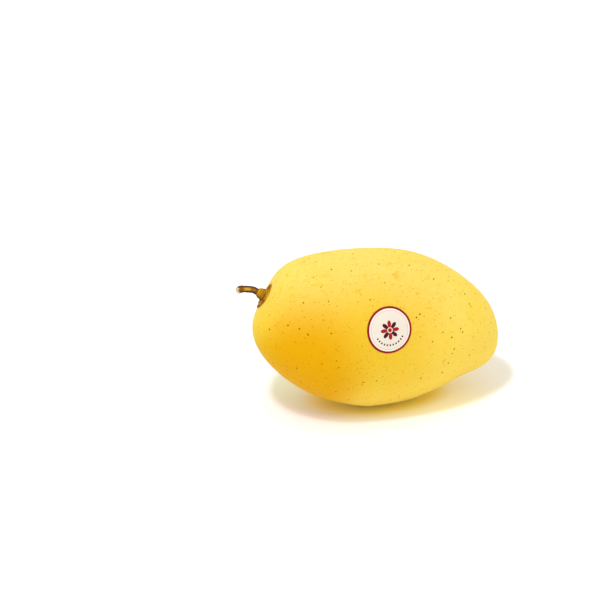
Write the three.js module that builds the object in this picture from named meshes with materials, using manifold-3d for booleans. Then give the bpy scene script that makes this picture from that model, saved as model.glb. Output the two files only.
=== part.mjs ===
// A ripe yellow mango with a dried stalk and a round paper sticker, lying on its belly.
// Millimetres. +X runs along the fruit from stem to beak, +Y points away from the stickered cheek
// and +Z is up. The origin is on the small flat spot that the fruit rests on, under its centre of mass.

import * as THREE from 'three';
import { mergeVertices } from 'three/addons/utils/BufferGeometryUtils.js';
import Module from 'manifold-3d';

// The fruit's outline in its own plane of length and width, as [x, height] points on a smooth closed
// curve: from the stem's end over the back to the beak, the ninth, and home under the belly.
const OUTLINE = [
  [-56.5, 65.5], [-47, 80], [-18.5, 87], [11, 85.5], [26, 82.5], [47, 71.5], [64, 55], [71, 36.5],
  [65, 18], [46, 12], [22, 4.5], [0, 2.5], [-7.5, 3], [-25.5, 8.5], [-47, 22], [-63.5, 46.5],
];
const CHEEK_RATIO = 0.91; // half thickness over half width, halfway along
const CHEEK_TAPER = 0.15; // how much fuller the cheeks are at the stem, and leaner at the beak
const CHEEK_SKEW = 0.18; // how far the near cheek runs on past the far one at the stem's end
const SECTION_POWER = 2.12; // 2 is an ellipse, more is squarer
const SKIN_DETAIL = 15; // how often each edge of the icosahedron is split
const LEAN = THREE.MathUtils.degToRad(10); // the back leans away from the stickered cheek
const REST_SPOT = new THREE.Vector3(0.5, 8, 2.5); // the origin's place in the leaned outline's frame
const FIT_GAP = 0.3; // between pieces that touch

const STEM_ALONG = THREE.MathUtils.degToRad(7); // the seat, from the stem's end towards the beak
const STEM_AROUND = THREE.MathUtils.degToRad(80); // and from the back down the far cheek
const STEM_AXIS = new THREE.Vector3(-0.82, 0.28, 0.51).normalize();
const STEM_DIP = 1.2; // the skin dips under the stem
const STEM_DIP_RADIUS = 13.5;
const COLLAR_RADIUS = 8;
const COLLAR_HEIGHT = 1.9;
const COLLAR_EDGE = 0.3; // height of the widest point, where the rounded top begins
const COLLAR_ROOT = 4; // how far the disc reaches into the fruit before it is cut
const KNUCKLE_RISE = 0.3; // how far the knuckle stands above the collar's middle
const KNUCKLE_BASE_RADIUS = 3.3;
const KNUCKLE_TIP_RADIUS = 1.9;
const KNUCKLE_LENGTH = 3;
const KNUCKLE_SHOULDER = 0.5; // height of the straight foot
const STALK_RADIUS = 1.75;
const STALK_BEND = [ // [up, out] from where the knuckle's axis meets the seat
  [-0.3, 5.8], [-0.2, 6.9], [-0.6, 8.4], [-1.4, 10], [-2.4, 11.8], [-3.7, 13.5], [-5.4, 14.4],
];

const LABEL_ALONG = THREE.MathUtils.degToRad(75.5); // the middle's place, measured as the seat's is
const LABEL_AROUND = THREE.MathUtils.degToRad(-77.5);
const LABEL_RADIUS = 12.5;
const LABEL_THICKNESS = 0.3;

const wasm = await Module();
wasm.setup();

function toSolid(geometry) {
  const bare = geometry.clone();
  bare.deleteAttribute('normal');
  bare.deleteAttribute('uv');
  const welded = mergeVertices(bare);
  return new wasm.Manifold(new wasm.Mesh({
    numProp: 3,
    vertProperties: welded.attributes.position.array,
    triVerts: Uint32Array.from(welded.index.array),
  }));
}

function toGeometry(solid) {
  const { vertProperties, triVerts } = solid.getMesh();
  const geometry = new THREE.BufferGeometry();
  geometry.setAttribute('position', new THREE.BufferAttribute(vertProperties, 3));
  geometry.setIndex(new THREE.BufferAttribute(triVerts, 1));
  geometry.computeVertexNormals();
  return geometry;
}

function piece(name, geometry, color, roughness) {
  const material = new THREE.MeshStandardMaterial({ color, roughness, metalness: 0 });
  const mesh = new THREE.Mesh(geometry, material);
  mesh.name = name;
  return mesh;
}

// A solid turned round the local Z axis, from [radius, height] points.
function turned(profile, segments) {
  const points = profile.map(([radius, height]) => new THREE.Vector2(radius, height));
  return new THREE.LatheGeometry(points, segments).rotateX(Math.PI / 2);
}

// A frame with its origin at a point, +Z outward and +X as near as can be to another direction.
function frameAt(point, outward, towards) {
  const side = outward.clone().cross(towards).normalize();
  const forward = side.clone().cross(outward);
  return new THREE.Matrix4().makeBasis(forward, side, outward).setPosition(point);
}

// The outline's point at an angle round it, by trigonometric interpolation: 0 is the stem, PI the beak.
function outlineAt(angle) {
  const count = OUTLINE.length;
  const point = new THREE.Vector2();
  OUTLINE.forEach(([x, height], index) => {
    const turn = angle - (index / count) * 2 * Math.PI;
    const onPoint = Math.abs(Math.sin(turn / 2)) < 1e-9;
    const weight = onPoint ? 1 : Math.sin((count * turn) / 2) / Math.tan(turn / 2) / count;
    point.x += x * weight;
    point.y += height * weight;
  });
  return point;
}

// A point of the full form for an angle along the fruit and an angle around it. Each section spans
// the outline from back to belly and bulges sideways as a superellipse.
function fullPoint(along, around) {
  const back = outlineAt(along);
  const belly = outlineAt(2 * Math.PI - along);
  const middle = back.clone().add(belly).multiplyScalar(0.5);
  const half = back.sub(belly).multiplyScalar(0.5);
  const cos = Math.cos(around);
  const sin = Math.sin(around);
  const reach = (Math.abs(cos) ** SECTION_POWER + Math.abs(sin) ** SECTION_POWER) ** (-1 / SECTION_POWER);
  const thickness = CHEEK_RATIO * (1 + CHEEK_TAPER * Math.cos(along)) * half.length();
  const sideways = thickness * sin * reach;
  const spine = middle.addScaledVector(half, cos * reach);
  const skew = CHEEK_SKEW * ((1 + Math.cos(along)) / 2) ** 2;
  return new THREE.Vector3(spine.x + skew * sideways, sideways, spine.y)
    .applyAxisAngle(new THREE.Vector3(1, 0, 0), -LEAN)
    .sub(REST_SPOT);
}

// The skin is the full form with a shallow dip where the stem stands.
function skinPoint(along, around) {
  const point = fullPoint(along, around);
  const away = point.distanceTo(fullPoint(STEM_ALONG, STEM_AROUND)) / STEM_DIP_RADIUS;
  return point.addScaledVector(STEM_AXIS, -STEM_DIP * Math.max(0, 1 - away ** 2) ** 2);
}

// The whole skin as a solid, swollen outwards by a distance and seen from a frame that lies on it.
function skin(swell = 0, frame = new THREE.Matrix4()) {
  const sphere = new THREE.IcosahedronGeometry(1, SKIN_DETAIL);
  sphere.deleteAttribute('normal');
  sphere.deleteAttribute('uv');
  const geometry = mergeVertices(sphere);
  const place = geometry.attributes.position;
  for (let index = 0; index < place.count; index += 1) {
    const along = Math.acos(THREE.MathUtils.clamp(-place.getX(index), -1, 1));
    const around = Math.atan2(place.getY(index), place.getZ(index));
    place.setXYZ(index, ...skinPoint(along, around));
  }
  geometry.computeVertexNormals();
  const outward = geometry.attributes.normal;
  for (let index = 0; index < place.count; index += 1) {
    const point = new THREE.Vector3().fromBufferAttribute(place, index);
    const normal = new THREE.Vector3().fromBufferAttribute(outward, index);
    place.setXYZ(index, ...point.addScaledVector(normal, swell));
  }
  return toSolid(geometry.applyMatrix4(frame.clone().invert()));
}

// The fruit is one grown body. Its belly is pressed flat where its weight rests.
function makeFruit() {
  const floor = new THREE.BoxGeometry(100, 100, 20).translate(0, 0, -10);
  return piece('fruit', toGeometry(skin().subtract(toSolid(floor))), 0xfad24e, 0.45);
}

// The corky ring that rims the stem's seat, hugging the skin under it.
function makeCollar(frame) {
  const disc = turned([
    [0, -COLLAR_ROOT],
    [COLLAR_RADIUS, -COLLAR_ROOT],
    [COLLAR_RADIUS, COLLAR_EDGE],
    [0.93 * COLLAR_RADIUS, 0.7 * COLLAR_HEIGHT],
    [0.8 * COLLAR_RADIUS, 0.95 * COLLAR_HEIGHT],
    [0.6 * COLLAR_RADIUS, COLLAR_HEIGHT],
    [0, COLLAR_HEIGHT],
  ], 32);
  return piece('stem_collar', toGeometry(toSolid(disc).subtract(skin(FIT_GAP, frame))), 0xa86c1c, 0.85);
}

// The stalk's swollen green foot, a short cone on the collar.
function makeKnuckle() {
  const foot = COLLAR_HEIGHT + FIT_GAP;
  const waist = 0.65 * KNUCKLE_BASE_RADIUS + 0.35 * KNUCKLE_TIP_RADIUS;
  const cone = turned([
    [0, foot],
    [KNUCKLE_BASE_RADIUS, foot],
    [KNUCKLE_BASE_RADIUS, foot + KNUCKLE_SHOULDER],
    [waist, foot + 0.6 * KNUCKLE_LENGTH],
    [KNUCKLE_TIP_RADIUS, foot + KNUCKLE_LENGTH],
    [0, foot + KNUCKLE_LENGTH],
  ], 24);
  return piece('stem_knuckle', cone, 0xb0960f, 0.6);
}

// The dried stalk leaves the knuckle straight and droops to its broken end.
function makeStalk() {
  const bend = STALK_BEND.map(([up, out]) => new THREE.Vector3(up, 0, out));
  const section = new THREE.Shape().absarc(0, 0, STALK_RADIUS, 0, 2 * Math.PI);
  const tube = new THREE.ExtrudeGeometry(section, {
    extrudePath: new THREE.CatmullRomCurve3(bend),
    steps: 20,
    curveSegments: 12,
    bevelEnabled: false,
  });
  return piece('stalk', tube, 0x7d5417, 0.8);
}

// The collar, the knuckle and the stalk share the stem's seat, a little off the outline's plane.
function makeStem() {
  const seat = skinPoint(STEM_ALONG, STEM_AROUND);
  const frame = frameAt(seat, STEM_AXIS, new THREE.Vector3(0, 0, 1));
  const stem = new THREE.Group();
  stem.applyMatrix4(frame);
  const risen = new THREE.Group();
  risen.position.x = KNUCKLE_RISE;
  risen.add(makeKnuckle(), makeStalk());
  stem.add(makeCollar(frame), risen);
  return stem;
}

// The paper sticker is a disc punched from a thin sheet that follows the near cheek.
function makeLabel() {
  const nudge = 0.01;
  const seat = skinPoint(LABEL_ALONG, LABEL_AROUND);
  const forward = skinPoint(LABEL_ALONG + nudge, LABEL_AROUND).sub(seat);
  const upward = skinPoint(LABEL_ALONG, LABEL_AROUND + nudge).sub(seat);
  const outward = forward.clone().cross(upward).normalize();
  const frame = frameAt(seat, outward, forward);
  const sheet = skin(FIT_GAP + LABEL_THICKNESS, frame).subtract(skin(FIT_GAP, frame));
  const punch = new THREE.CylinderGeometry(LABEL_RADIUS, LABEL_RADIUS, 20, 48).rotateX(Math.PI / 2);
  const label = piece('label', toGeometry(sheet.intersect(toSolid(punch))), 0xf5e9d9, 0.5);
  label.applyMatrix4(frame);
  return label;
}

const mango = new THREE.Group();
mango.add(makeFruit(), makeStem(), makeLabel());

export default mango;
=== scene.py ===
import math
import random

import bpy
from mathutils import Matrix, Vector


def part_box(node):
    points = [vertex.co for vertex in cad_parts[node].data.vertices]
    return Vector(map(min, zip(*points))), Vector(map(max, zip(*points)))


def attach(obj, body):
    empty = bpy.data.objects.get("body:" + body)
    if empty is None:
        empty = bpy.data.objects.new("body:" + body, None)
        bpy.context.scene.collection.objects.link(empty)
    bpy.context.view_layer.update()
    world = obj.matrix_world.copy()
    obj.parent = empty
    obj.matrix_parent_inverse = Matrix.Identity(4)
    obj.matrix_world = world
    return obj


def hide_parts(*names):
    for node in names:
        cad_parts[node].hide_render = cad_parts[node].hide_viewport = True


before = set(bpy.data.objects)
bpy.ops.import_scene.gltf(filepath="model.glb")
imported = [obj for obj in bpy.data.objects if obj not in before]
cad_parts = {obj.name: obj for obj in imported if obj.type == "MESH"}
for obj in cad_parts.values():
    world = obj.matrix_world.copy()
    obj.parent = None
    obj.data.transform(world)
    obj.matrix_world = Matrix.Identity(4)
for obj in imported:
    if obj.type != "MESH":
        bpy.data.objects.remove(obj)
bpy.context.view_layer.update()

# THE FRUIT
# A long yellow mango, ripe, grown as one body of flesh under a thin waxy skin. It lies on its
# belly, where its own weight presses a small flat spot. Its stem and a sticker are all it carries.

MM = 0.001


def work_on(piece, mode="OBJECT"):
    """Makes one object the only one selected, and enters a mode on it."""
    if bpy.context.object and bpy.context.object.mode != "OBJECT":
        bpy.ops.object.mode_set(mode="OBJECT")
    bpy.ops.object.select_all(action="DESELECT")
    piece.select_set(True)
    bpy.context.view_layer.objects.active = piece
    bpy.ops.object.mode_set(mode=mode)


def finish_mesh(piece):
    """Applies the modifiers in their order and lets the object sit at the origin."""
    work_on(piece)
    for modifier in list(piece.modifiers):
        bpy.ops.object.modifier_apply(modifier=modifier.name)
    bpy.ops.object.transform_apply(location=True, rotation=True, scale=True)
    bpy.ops.object.shade_smooth()


def add_modifier(piece, kind, **settings):
    """Adds one modifier, with its settings by name."""
    modifier = piece.modifiers.new(kind.lower(), kind)
    for name, value in settings.items():
        setattr(modifier, name, value)


def roughen(piece, lump, strength, depth=1):
    """Pushes the surface in and out along its normals in soft lumps of about one size."""
    cloud = bpy.data.textures.new(piece.name + "_lumps", "CLOUDS")
    cloud.noise_scale = lump
    cloud.noise_depth = depth
    add_modifier(piece, "DISPLACE", texture=cloud, strength=strength, mid_level=0.5)


# A smooth mould is taken from the frame's fruit, and a ball of even squares is drawn onto it.
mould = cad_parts["fruit"].copy()
mould.data = mould.data.copy()
mould.parent = None
bpy.context.collection.objects.link(mould)
work_on(mould, "EDIT")
bpy.ops.mesh.select_all(action="SELECT")
bpy.ops.mesh.remove_doubles(threshold=0.001 * MM)
bpy.ops.object.mode_set(mode="OBJECT")
add_modifier(mould, "SUBSURF", levels=2, render_levels=2)

low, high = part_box("fruit")
middle = (low + high) / 2
ball_size = (high - low) / 1.5  # the ball starts well inside the mould
bpy.ops.mesh.primitive_cube_add(size=1, location=middle)
fruit = bpy.context.object
fruit.name = "ripe_fruit"
work_on(fruit, "EDIT")
bpy.ops.mesh.subdivide(number_cuts=11)
bpy.ops.transform.tosphere(value=1)
bpy.ops.transform.resize(value=ball_size, center_override=middle)
bpy.ops.object.mode_set(mode="OBJECT")
drawn_on = {"target": mould, "wrap_method": "TARGET_PROJECT"}
add_modifier(fruit, "SHRINKWRAP", **drawn_on)
add_modifier(fruit, "SMOOTH", factor=0.5, iterations=8)
add_modifier(fruit, "SHRINKWRAP", **drawn_on)
add_modifier(fruit, "SUBSURF", levels=2, render_levels=2)
add_modifier(fruit, "SHRINKWRAP", **drawn_on)
add_modifier(fruit, "SUBSURF", levels=1, render_levels=1)
add_modifier(fruit, "SHRINKWRAP", **drawn_on)
roughen(fruit, lump=28 * MM, strength=0.35 * MM)
finish_mesh(fruit)
bpy.data.objects.remove(mould)

# What hangs below the floor is pressed flat onto it.
for vertex in fruit.data.vertices:
    vertex.co.z = max(vertex.co.z, 0)


class Wire:
    """One socket among a material's nodes. Arithmetic on wires adds the Math nodes that do it."""

    def __init__(self, socket):
        self.socket = socket

    def node(self, kind, settings=(), sockets=(), output=0):
        """Adds a node: its settings first, then the value or the link of each of its sockets."""
        tree = self.socket.id_data
        made = tree.nodes.new("ShaderNode" + kind)
        for name, value in dict(settings).items():
            setattr(made, name, value)
        for name, value in dict(sockets).items():
            if isinstance(value, Wire):
                tree.links.new(value.socket, made.inputs[name])
            else:
                made.inputs[name].default_value = value
        return Wire(made.outputs[output])

    def maths(self, operation, *others):
        """Adds a Math node that takes this wire first and the others after it."""
        return self.node("Math", {"operation": operation}, enumerate((self, *others)))

    def __add__(self, other):
        return self.maths("ADD", other)

    def __sub__(self, other):
        return self.maths("SUBTRACT", other)

    def __rsub__(self, other):
        return self.node("Math", {"operation": "SUBTRACT"}, {0: other, 1: self})

    def __mul__(self, other):
        return self.maths("MULTIPLY", other)

    def __truediv__(self, other):
        return self.maths("DIVIDE", other)

    __radd__ = __add__
    __rmul__ = __mul__

    def fade(self, start, end):
        """0 before start and 1 after end, smooth between them, whichever is the higher."""
        ends = {"Value": self, "From Min": start, "From Max": end}
        return self.node("MapRange", {"interpolation_type": "SMOOTHSTEP"}, ends)

    def tint(self, off, on):
        """Mixes two colours, with this wire as the share of the second."""
        return self.node("Mix", {"data_type": "RGBA"}, {0: self, 6: off, 7: on}, output=2)

    def stretched(self, scale):
        """A place or a colour with each of its parts multiplied by a number of its own."""
        return self.node("VectorMath", {"operation": "MULTIPLY"}, {0: self, 1: scale})

    def away_from(self, point):
        """The distance from a fixed point."""
        ends = {0: self, 1: point}
        return self.node("VectorMath", {"operation": "DISTANCE"}, ends, output="Value")

    def along(self, direction):
        """How far a place lies in a direction from the origin."""
        vectors = {0: self, 1: direction}
        return self.node("VectorMath", {"operation": "DOT_PRODUCT"}, vectors, output="Value")

    def noise(self, lump, detail=2, output="Fac"):
        """Soft noise whose lumps are about one size, from 0 to 1 round 0.5."""
        sockets = {"Vector": self, "Scale": 1 / lump, "Detail": detail}
        return self.node("TexNoise", (), sockets, output)

    def bump(self, distance, height):
        """Tilts the surface as if it rose and sank by a distance with the height."""
        return self.node("Bump", (), {"Distance": distance, "Height": height})

    def to(self, socket):
        self.socket.id_data.links.new(self.socket, socket)


def eye(red, green, blue):
    """A colour as seen, each part from 0 to 255, in the linear values that sockets take."""
    parts = [part / 255 for part in (red, green, blue)]
    linear = [part / 12.92 if part < 0.04045 else ((part + 0.055) / 1.055) ** 2.4 for part in parts]
    return linear + [1]


def new_material(piece, name, **constants):
    """A new material on a piece. Gives its shader's sockets and the piece's own coordinates."""
    material = bpy.data.materials.new(name)
    material.use_nodes = True
    piece.data.materials.clear()
    piece.data.materials.append(material)
    shader = material.node_tree.nodes["Principled BSDF"]
    for socket, value in constants.items():
        shader.inputs[socket.replace("_", " ")].default_value = value
    place = material.node_tree.nodes.new("ShaderNodeTexCoord").outputs["Object"]
    return shader.inputs, Wire(place)


def specks(place, spacing, radius, rarity):
    """Round dots strewn over a surface, each of its own size: up to 1 in a dot and 0 outside."""
    cell = {"Vector": place, "Scale": 1 / spacing}
    distance = place.node("TexVoronoi", (), cell, "Distance") * spacing
    chance = place.node("TexVoronoi", (), cell, "Color").fade(rarity, rarity + 0.3)
    reach = chance * radius
    return distance.fade(reach, reach * 0.5) * chance


skin, place = new_material(
    fruit, "waxy_skin",
    Specular_IOR_Level=0.06,
    Subsurface_Weight=0.1,
    Subsurface_Radius=(1.0, 0.5, 0.12),
    Subsurface_Scale=3 * MM,
)
broad = place.noise(30 * MM, detail=1)
mottle = place.noise(5 * MM, detail=3)
grain = place.noise(0.9 * MM, detail=2)

# A painted sheen: the back and the upper near cheek, which face the light, are painted paler.
# The cheek that hung towards the sun is honey coloured, and has ripened to orange towards the
# stem, where painted warm reflected light deepens the orange, but its very end stayed paler.
painted_sheen = place.along((0, -0.8, 1)).fade(66 * MM, 102 * MM)
golden = painted_sheen.tint(eye(255, 222, 98), eye(249, 216, 117))
clouded = (broad.fade(0.4, 0.75) * 0.2).tint(golden, eye(248, 204, 50))
mottled = (mottle.fade(0.5, 0.75) * 0.2).tint(clouded, eye(255, 230, 120))
honey_spot = (middle.x - 15 * MM, low.y - 40 * MM, 58 * MM)
honey = place.away_from(honey_spot).fade(80 * MM, 33 * MM).tint(mottled, eye(240, 197, 44))
# Deep orange low near the stem end: partly the ripened skin, partly painted warm reflected light.
ripe_and_reflected_spot = (low.x + 30 * MM, middle.y - 11 * MM, 39 * MM)
ripe_and_reflected_orange = place.away_from(ripe_and_reflected_spot).fade(42 * MM, 26 * MM).tint(honey, eye(234, 174, 0))
end_spot = (low.x, middle.y, 47 * MM)
unripe = ripe_and_reflected_orange.stretched((1.01, 1.19, 1.05))
paler = place.away_from(end_spot).fade(33 * MM, 6 * MM).tint(ripe_and_reflected_orange, unripe)
blotches = place.noise(7 * MM, detail=4).fade(0.6, 0.72) * 0.35
blotched = blotches.tint(paler, eye(234, 174, 12))

# Faint scuffs run along the back near the stem, and a fine grain covers the whole skin.
scuffed_spot = (low.x + 24 * MM, middle.y - 4 * MM, 78 * MM)
near_stem = place.away_from(scuffed_spot).fade(28 * MM, 14 * MM)
scuffs = place.stretched((0.2, 1, 1)).noise(2.4 * MM, detail=2).fade(0.54, 0.66) * near_stem
scuffed = scuffs.tint(blotched, blotched.stretched((0.97, 0.93, 0.7)))
grainy = (grain.fade(0.4, 0.68) * 0.6).tint(scuffed, scuffed.stretched((0.97, 0.91, 0.3)))

# Lenticels: crisp brown breathing pores, each in a deep yellow ring, and many faint ones between.
faint_pores = specks(place, 2.1 * MM, 0.5 * MM, rarity=0.3)
pore_spacing = 3.2 * MM
pore_rarity = 0.4
crisp_pores = specks(place, pore_spacing, 0.54 * MM, pore_rarity)
pore_rings = specks(place, pore_spacing, 0.85 * MM, pore_rarity)
freckled = faint_pores.tint(grainy, grainy.stretched((0.76, 0.64, 0.02)))
ringed = pore_rings.tint(freckled, freckled.stretched((0.97, 0.9, 0.1)))
pored = crisp_pores.tint(ringed, eye(118, 62, 0))

pored.to(skin["Base Color"])
(0.42 + mottle * 0.1 + grain * 0.06).to(skin["Roughness"])
relief = grain * 0.5 + mottle * 1.5 - crisp_pores * 0.8 - faint_pores * 0.3
place.bump(0.05 * MM, relief).to(skin["Normal"])

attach(fruit, "root")
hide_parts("fruit")

# THE COLLAR
# A corky brown ring, grown where the stem joins the fruit. It hugs the skin like a low washer,
# in uneven ridges with chipped lobes at its rim.

stem_axis = Vector((-0.82, 0.28, 0.51)).normalized()
stem_side = stem_axis.cross(Vector((0, 0, 1))).normalized()
stem_up = stem_side.cross(stem_axis)


def stem_place(node, end):
    """Where a piece of the stem stands in the frame: the middle of its lowest or highest ring."""
    points = [vertex.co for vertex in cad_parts[node].data.vertices]
    level = end(point.dot(stem_axis) for point in points)
    ring = [point for point in points if abs(point.dot(stem_axis) - level) < 0.01 * MM]
    standing = Matrix((stem_up, stem_side, stem_axis)).transposed().to_4x4()
    standing.translation = sum(ring, Vector()) / len(ring)
    return standing


def drawn_up(name, sides, rings):
    """A round workpiece upright on the bench: a disc drawn up through [radius, height] rings."""
    radius, level = rings[0]
    bpy.ops.mesh.primitive_circle_add(
        vertices=sides, radius=radius, fill_type="NGON", location=(0, 0, level)
    )
    piece = bpy.context.object
    piece.name = name
    bpy.ops.object.transform_apply(location=True)
    work_on(piece, "EDIT")
    bpy.ops.mesh.select_all(action="SELECT")
    for next_radius, next_level in rings[1:]:
        rise = (0, 0, next_level - level)
        bpy.ops.mesh.extrude_region_move(TRANSFORM_OT_translate={"value": rise})
        share = next_radius / radius
        bpy.ops.transform.resize(value=(share, share, 1), center_override=(0, 0, next_level))
        radius, level = next_radius, next_level
    bpy.ops.mesh.select_all(action="SELECT")
    bpy.ops.mesh.normals_make_consistent(inside=False)
    bpy.ops.object.mode_set(mode="OBJECT")
    return piece


def in_millimetres(rings):
    return [(radius * MM, level * MM) for radius, level in rings]


def keep_bench_places(piece):
    """Remembers where each point lay on the bench, for patterns that follow the piece."""
    kept = piece.data.attributes.new("bench", "FLOAT_VECTOR", "POINT")
    for vertex in piece.data.vertices:
        kept.data[vertex.index].vector = vertex.co


def bench_place(place):
    return place.node("Attribute", {"attribute_name": "bench"}, output="Vector")


collar_rings = [
    (7.3, -5.2), (7.7, -3.6), (8.0, -2.4), (8.05, -1.7), (7.8, -1.2), (7.3, -0.85), (6.7, -0.75),
    (6.2, -0.85), (5.5, -0.5), (4.8, -0.55), (4.2, -0.25), (3.0, -0.1),
]
collar = drawn_up("corky_collar", 44, in_millimetres(collar_rings))
keep_bench_places(collar)
work_on(collar)
bpy.ops.transform.resize(value=(1.04, 0.85, 1), center_override=(0, 0, 0))
bpy.ops.transform.translate(value=(0, 0, 0.15 * MM))
add_modifier(collar, "SUBSURF", levels=2, render_levels=2)
roughen(collar, lump=2.6 * MM, strength=0.9 * MM)
roughen(collar, lump=0.8 * MM, strength=0.5 * MM, depth=3)
finish_mesh(collar)

# The ring sinks into the seat towards the belly, on the side of the stickered cheek.
sink = 0.9 * MM
for vertex in collar.data.vertices:
    belly = min(max((4 * MM - vertex.co.x) / (9 * MM), 0), 1)
    near = min(max(-vertex.co.y / (5 * MM), 0), 1)
    vertex.co.z -= sink * belly * near
collar.data.transform(stem_place("stem_collar", max))

cork, place = new_material(collar, "cork", Specular_IOR_Level=0.1)
bench = bench_place(place)
reach = bench.stretched((1, 1, 0)).away_from((0, 0, 0))
crumbs = bench.noise(0.8 * MM, detail=4)
patches = bench.noise(2.6 * MM, detail=2)
brown = patches.fade(0.38, 0.54).tint(eye(148, 94, 4), eye(204, 148, 38))
split = reach.fade(5.4 * MM, 6.2 * MM) * reach.fade(7.2 * MM, 6.4 * MM)
scarred = (split * crumbs.fade(0.35, 0.55)).tint(brown, eye(104, 56, 2))
flecked = crumbs.fade(0.54, 0.66).tint(scarred, eye(92, 46, 0))
# A painted highlight: the collar's outer rim edge is painted paler.
rimmed = reach.fade(7.7 * MM, 8.1 * MM).tint(flecked, eye(204, 150, 50))

rimmed.to(cork["Base Color"])
(0.75 + crumbs * 0.2).to(cork["Roughness"])
place.bump(0.2 * MM, crumbs + patches).to(cork["Normal"])

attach(collar, "root")
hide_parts("stem_collar")

# THE KNUCKLE
# The stalk's swollen green foot, still living tissue. It stands on the collar as a short cone
# with fine growth rings round it, and narrows to the dead stalk.

knuckle_rings = [
    (3.25, -1.0), (3.35, -0.3), (3.35, 0.15), (3.25, 0.5), (3.0, 0.75), (3.0, 1.0), (2.95, 1.5),
    (2.8, 1.9), (2.55, 2.15), (2.5, 2.4), (2.4, 2.75), (2.15, 3.0), (1.8, 3.2),
]
knuckle = drawn_up("green_knuckle", 32, in_millimetres(knuckle_rings))
keep_bench_places(knuckle)
add_modifier(knuckle, "SUBSURF", levels=2, render_levels=2)
roughen(knuckle, lump=1.6 * MM, strength=0.5 * MM)
finish_mesh(knuckle)
knuckle.data.transform(stem_place("stem_knuckle", min))

green, place = new_material(knuckle, "green_stem", Specular_IOR_Level=0.1)
bench = bench_place(place)
level = bench.along((0, 0, 1))
streaks = bench.stretched((1, 1, 0.25)).noise(0.7 * MM, detail=3)
wavering = level + (bench.noise(1.5 * MM) - 0.5) * 0.5 * MM
first_ring = 0.75 * MM
ring_pitch = 1.4 * MM
ring = ((wavering - first_ring) * (2 * math.pi / ring_pitch)).maths("COSINE")
olive = level.fade(0.4 * MM, 2.6 * MM).tint(eye(182, 134, 2), eye(208, 162, 14))
streaky = (streaks.fade(0.45, 0.7) * 0.35).tint(olive, eye(146, 98, 0))
ringed = (ring.fade(0.2, 0.95) * 0.55).tint(streaky, eye(134, 88, 0))
# Painted shade: the knuckle's underside, turned from the light, is painted dark brown.
painted_underside_shade = (bench.along((1, 0, 0)) + (streaks - 0.5) * 1.5 * MM).fade(0.2 * MM, -2.4 * MM)
shaded_below = painted_underside_shade.tint(ringed, eye(96, 56, 2))

shaded_below.to(green["Base Color"])
(0.55 + streaks * 0.15).to(green["Roughness"])
place.bump(0.15 * MM, streaks - ring * 0.5).to(green["Normal"])

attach(knuckle, "root")
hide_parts("stem_knuckle")

# THE STALK
# The dead brown stalk, dried hard and ridged along its length. It leaves the knuckle straight,
# droops, and ends where it was snapped off in a flared, frayed, pale end.

stalk_radius = 1.75 * MM
stalk_length = 12.2 * MM
stalk_bend = [  # up and out from the middle of the knuckle's foot
    (0.0, 1.8), (-0.3, 3.6), (-0.2, 4.7), (-0.6, 6.2), (-1.4, 7.8), (-2.4, 9.6), (-3.7, 11.3),
    (-5.9, 12.3),
]

stalk_shape = [  # shares of the radius and of the length
    (1.05, 0.0), (1.02, 0.06), (0.98, 0.14), (1.0, 0.24), (0.97, 0.34), (0.99, 0.44), (1.02, 0.54),
    (0.99, 0.64), (1.0, 0.74), (1.05, 0.82), (1.13, 0.88), (1.22, 0.93), (1.22, 0.97), (0.95, 0.98),
    (0.6, 0.94),
]
flutes = 6
stalk_rings = [(share * stalk_radius, run * stalk_length) for share, run in stalk_shape]
stalk = drawn_up("dry_stalk", 4 * flutes, stalk_rings)


def flute(x, y):
    """1 along the crests of the dried ridges and -1 in the grooves between them."""
    return math.cos(flutes * math.atan2(y, x))


# The rod dried into ridges, and it was torn off, so the rim of its end is ragged.
chance = random.Random(7)
for vertex in stalk.data.vertices:
    depth = 1 + 0.07 * flute(vertex.co.x, vertex.co.y)
    vertex.co.x *= depth
    vertex.co.y *= depth
    if vertex.co.z > 0.96 * stalk_length:
        vertex.co.z += chance.uniform(-0.6, 0.3) * MM

# Torn fibres stand up inside the end.
splinters = []
tufts = 17
golden_angle = 2.4  # spreads the tufts evenly round the end
for number in range(tufts):
    turn = number * golden_angle
    reach = 0.3 * MM + 1.5 * MM * number / tufts
    tall = chance.uniform(1.6, 3.0) * MM
    foot = (reach * math.cos(turn), reach * math.sin(turn), 0.92 * stalk_length + tall / 2)
    bpy.ops.mesh.primitive_cone_add(
        vertices=6, radius1=0.34 * MM, radius2=0.1 * MM, depth=tall, location=foot,
        rotation=(chance.uniform(-0.3, 0.3), chance.uniform(-0.3, 0.3), 0),
    )
    splinters.append(bpy.context.object)
work_on(stalk)
for splinter in splinters:
    splinter.select_set(True)
bpy.ops.object.join()
keep_bench_places(stalk)

bend = bpy.data.curves.new("bend", "CURVE")
bend.dimensions = "3D"
spline = bend.splines.new("BEZIER")
spline.bezier_points.add(len(stalk_bend) - 1)
for knot, (up, out) in zip(spline.bezier_points, stalk_bend):
    knot.co = (up * MM, 0, out * MM)
    knot.handle_left_type = knot.handle_right_type = "AUTO"
bend_line = bpy.data.objects.new("bend", bend)
bpy.context.collection.objects.link(bend_line)

add_modifier(stalk, "SUBSURF", levels=2, render_levels=2)
roughen(stalk, lump=1.3 * MM, strength=0.35 * MM, depth=2)
add_modifier(stalk, "CURVE", object=bend_line, deform_axis="POS_Z")
finish_mesh(stalk)
bpy.data.objects.remove(bend_line)
stalk.data.transform(stem_place("stem_knuckle", min))

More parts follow.
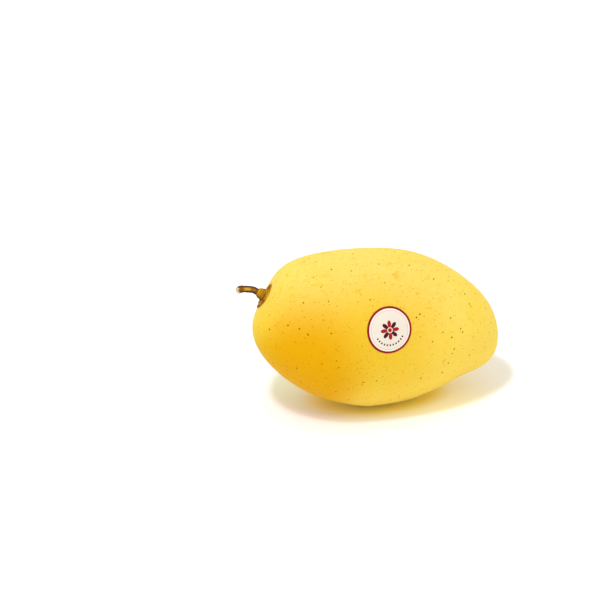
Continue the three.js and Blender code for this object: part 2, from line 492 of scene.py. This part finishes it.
bark, place = new_material(stalk, "dry_bark", Specular_IOR_Level=0.15)
bench = bench_place(place)
run = bench.along((0, 0, 1)) / stalk_length
upright = bench.along((1, 0, 0))
turn = bench.along((0, 1, 0)).maths("ARCTAN2", upright)
crest = (turn * flutes).maths("COSINE")
# Painted light and shade round the rod: dark along its upper and lower edges and lighter on the
# face towards the light, mixed with the real ridges, fibres and blotches of the bark.
painted_light_round = ((turn - 0.47) * 2).maths("COSINE")
fibres = bench.stretched((1, 1, 0.1)).noise(0.4 * MM, detail=3)
blotches = bench.stretched((1, 1, 0.4)).noise(1.6 * MM, detail=2)
ridges_and_painted_shade = (painted_light_round * 0.5 + crest * 0.06 + fibres * 0.6 + blotches * 0.5).fade(0.6, 1.0)
bark_and_painted_shade = ridges_and_painted_shade.tint(eye(76, 40, 0), eye(140, 88, 12))
# A painted highlight runs along the middle of the stalk: a warmer band, then a bright tan line.
inner_run = run.fade(0.36, 0.46) * run.fade(0.76, 0.62)
painted_warm_middle = (ridges_and_painted_shade * inner_run).tint(bark_and_painted_shade, eye(164, 108, 18))
painted_highlight_line = (painted_light_round + (fibres - 0.5) * 0.8).fade(0.7, 1.05)
painted_highlight = (painted_highlight_line * inner_run).tint(painted_warm_middle, eye(226, 168, 56))
# A painted glint: a small greyish-white highlight on the stalk near the knuckle.
painted_glint_patch = run.fade(0.37, 0.31) * run.fade(0.19, 0.25)
glinted = (painted_glint_patch * painted_highlight_line * 0.8).tint(painted_highlight, eye(166, 128, 76))
torn = (run + (fibres - 0.5) * 0.33).fade(0.88, 0.96)
upper_side = (upright + (fibres - 0.5) * 2 * MM).fade(-0.7 * MM, 0.5 * MM)
straw = (upper_side * fibres.fade(0.38, 0.5)).tint(eye(158, 108, 34), eye(252, 240, 190))
frayed = torn.tint(glinted, straw)

frayed.to(bark["Base Color"])
(0.6 + fibres * 0.25).to(bark["Roughness"])
place.bump(0.25 * MM, fibres).to(bark["Normal"])

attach(stalk, "root")
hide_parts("stalk")

# THE STICKER
# A round paper fruit sticker with a satin face, printed with a plain rosette and a row of dashes
# inside a red rim. It is pressed on the near cheek by hand and follows the skin.

label_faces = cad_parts["label"].data.polygons
label_area = sum(face.area for face in label_faces)
label_middle = sum((face.center * face.area for face in label_faces), Vector()) / label_area
_, label_spot, label_out, _ = fruit.closest_point_on_mesh(label_middle)
sticker_radius = 12.35 * MM
paper_thickness = 0.16 * MM
towards_beak = 0.6 * MM
held_off = 8 * MM  # how far off the skin it starts, before it is pressed on

bpy.ops.mesh.primitive_circle_add(vertices=72, radius=1, fill_type="NGON")
sticker = bpy.context.object
sticker.name = "paper_sticker"
work_on(sticker, "EDIT")
bpy.ops.mesh.select_all(action="SELECT")
for _ in range(11):  # rings of small faces let the paper bend with the skin
    bpy.ops.mesh.inset(thickness=0.085)
bpy.ops.mesh.select_all(action="SELECT")
bpy.ops.transform.resize(value=(sticker_radius, sticker_radius, 1), center_override=(0, 0, 0))
bpy.ops.object.mode_set(mode="OBJECT")
printed = sticker.data.uv_layers.new(name="print")
for corner in sticker.data.loops:
    point = sticker.data.vertices[corner.vertex_index].co
    printed.data[corner.index].uv = (point.x / sticker_radius, point.y / sticker_radius)

label_up = (Vector((0, 0, 1)) - label_out * label_out.z).normalized()
label_along = label_up.cross(label_out)
sticker_seat = Matrix((label_along, label_up, label_out)).transposed().to_4x4()
sticker_seat.translation = label_spot + label_out * held_off + label_along * towards_beak
sticker.matrix_world = sticker_seat
add_modifier(
    sticker, "SHRINKWRAP", target=fruit, wrap_method="PROJECT", wrap_mode="ABOVE_SURFACE",
    use_project_z=True, use_negative_direction=True, use_positive_direction=False, offset=0.05 * MM,
)
add_modifier(sticker, "SOLIDIFY", thickness=paper_thickness, offset=1)
roughen(sticker, lump=5 * MM, strength=0.12 * MM)
finish_mesh(sticker)

paper, place = new_material(sticker, "printed_paper", Specular_IOR_Level=0.2)
face = place.node("UVMap", {"uv_map": "print"})
radius = face.away_from((0, 0, 0))
angle = face.along((0, 1, 0)).maths("ARCTAN2", face.along((1, 0, 0)))
ink = place.noise(1.5 * MM, detail=2)

# The print's sizes are shares of the sticker's radius.
cream = place.noise(8 * MM).tint(eye(236, 223, 207), eye(244, 234, 219))
white_band = radius.fade(0.845, 0.855).tint(cream, eye(252, 240, 230))
hairline = radius.fade(0.815, 0.825) * radius.fade(0.845, 0.835)
ringed = hairline.tint(white_band, eye(224, 186, 172))
rim_red = ink.fade(0.35, 0.7).tint(eye(132, 0, 0), eye(166, 4, 8))
rimmed = radius.fade(0.905, 0.915).tint(ringed, rim_red)

# Eight petals, red and dark by turns, stand round a red eye.
petal_wave = (angle * 4).maths("COSINE")
petal_foot = 0.12
petal_reach = petal_foot + 0.3 * petal_wave.maths("ABSOLUTE").maths("POWER", 0.6)
petals = (petal_reach - radius).fade(0, 0.012) * radius.fade(petal_foot, petal_foot + 0.012)
petal_ink = petal_wave.fade(-0.1, 0.1).tint(eye(66, 8, 4), eye(174, 8, 20))
flowered = petals.tint(rimmed, petal_ink)
eyed = radius.fade(0.092, 0.08).tint(flowered, eye(174, 8, 20))

# A row of dashes bends along the lower edge.
arc = (angle + math.pi / 2).maths("ABSOLUTE").fade(1.15, 1.13)
dashes = (angle * 30).maths("SINE").fade(0, 0.15)
row = arc * dashes * radius.fade(0.6, 0.612) * radius.fade(0.69, 0.678)
printed_face = row.tint(eyed, eye(52, 22, 12))

printed_face.to(paper["Base Color"])
(0.42 + ink * 0.08).to(paper["Roughness"])
place.bump(0.02 * MM, place.noise(0.5 * MM, detail=3)).to(paper["Normal"])

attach(sticker, "root")
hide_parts("label")

# THE FLOOR
# A matt white studio table that runs on past the camera's view. It is bright white itself,
# and keeps the fruit's soft shadow.

table_width = 6
bpy.ops.mesh.primitive_plane_add(size=table_width, location=(0, 0, 0))
floor = bpy.context.object
floor.name = "studio_floor"


def in_oval(place, middle, half_length, half_width, outside, inside):
    """1 in an oval on the floor and 0 round it. The edge fades between two shares of its size."""
    scale = (1 / half_length, 1 / half_width, 0)
    centre = (middle[0] / half_length, middle[1] / half_width, 0)
    return place.stretched(scale).away_from(centre).fade(outside, inside)


table, place = new_material(floor, "white_table", Roughness=0.9, Specular_IOR_Level=0.0)
seen = place.node("LightPath", output="Is Camera Ray")

# Painted shadow tints: where the fruit's shadow falls, the floor's colour as the camera sees it is
# painted creamy, and round the fruit's foot a painted golden glow of warm reflected light.
# Parts over 1 lighten the painted shade.
in_shadow = in_oval(place, (17.25 * MM, 14.19 * MM), 69 * MM, 43 * MM, 1.04, 0.94)
shadow_end = place.away_from((20 * MM, -15 * MM, 0)).fade(8 * MM, 56 * MM)
stem_side = place.along((-1, 0, 0)).fade(20 * MM, 45 * MM)
cream = stem_side.tint((0.98, 0.95, 0.87, 1), (0.95, 1.03, 0.92, 1))
painted_shadow_cream = shadow_end.tint((1.17, 1.15, 0.89, 1), cream)
at_foot = in_oval(place, (4.4 * MM, 0), 44 * MM, 27 * MM, 1, 0.66)
beak_side = place.along((1, 0, 0)).fade(-14 * MM, 12 * MM)
painted_golden_glow = beak_side.tint((1.05, 0.86, 0.28, 1), (1.17, 0.96, 0.23, 1))
bright = at_foot.tint(in_shadow.tint((1.1, 1.12, 1.2, 1), painted_shadow_cream), painted_golden_glow)
seen.tint((0.94, 0.94, 0.94, 1), bright).to(table["Base Color"])

# THE LIGHT
# One round softbox stands high at the front left and draws the shadow's soft edge. A white room
# gives the rest from all round.

lamp = bpy.data.lights.new("softbox", "AREA")
lamp.shape = "DISK"
lamp.size = 0.22
lamp.energy = 5.8
lamp_distance = 1.5
softbox = bpy.data.objects.new("softbox", lamp)
light_way = Vector((-0.343, -0.334, 1)).normalized()
softbox.location = middle + light_way * lamp_distance
softbox.rotation_euler = light_way.to_track_quat("Z", "Y").to_euler()
bpy.context.collection.objects.link(softbox)

room = bpy.data.worlds.new("white_room")
room.use_nodes = True
bpy.context.scene.world = room
backdrop = room.node_tree.nodes["Background"]
air = Wire(backdrop.outputs[0])
seen = air.node("LightPath", output="Is Camera Ray")
mirrored = air.node("LightPath", output="Is Glossy Ray")
room_light = 0.9
(room_light + seen.maths("MAXIMUM", mirrored) * (1 - room_light)).to(backdrop.inputs["Strength"])
backdrop.inputs["Color"].default_value = (1, 1, 1, 1)

# THE CAMERA
# It looks down on the stickered cheek from 1.6 metres away, turned a little towards the stem's
# end, and frames the fruit right of the middle.

camera_turn = math.radians(14)
camera_tilt = math.radians(26)
camera_distance = 1.6
view_width = 0.3226
aim = Vector((-32, 25.6, 48.7)) * MM
view_back = Vector((
    -math.sin(camera_turn) * math.cos(camera_tilt),
    -math.cos(camera_turn) * math.cos(camera_tilt),
    math.sin(camera_tilt),
))
lens = bpy.data.cameras.new("camera")
lens.lens = lens.sensor_width * camera_distance / view_width
lens.clip_end = 20
camera = bpy.data.objects.new("camera", lens)
camera.location = aim + view_back * camera_distance
camera.rotation_euler = view_back.to_track_quat("Z", "Y").to_euler()
bpy.context.collection.objects.link(camera)
bpy.context.scene.camera = camera
bpy.context.scene.view_settings.view_transform = "Standard"
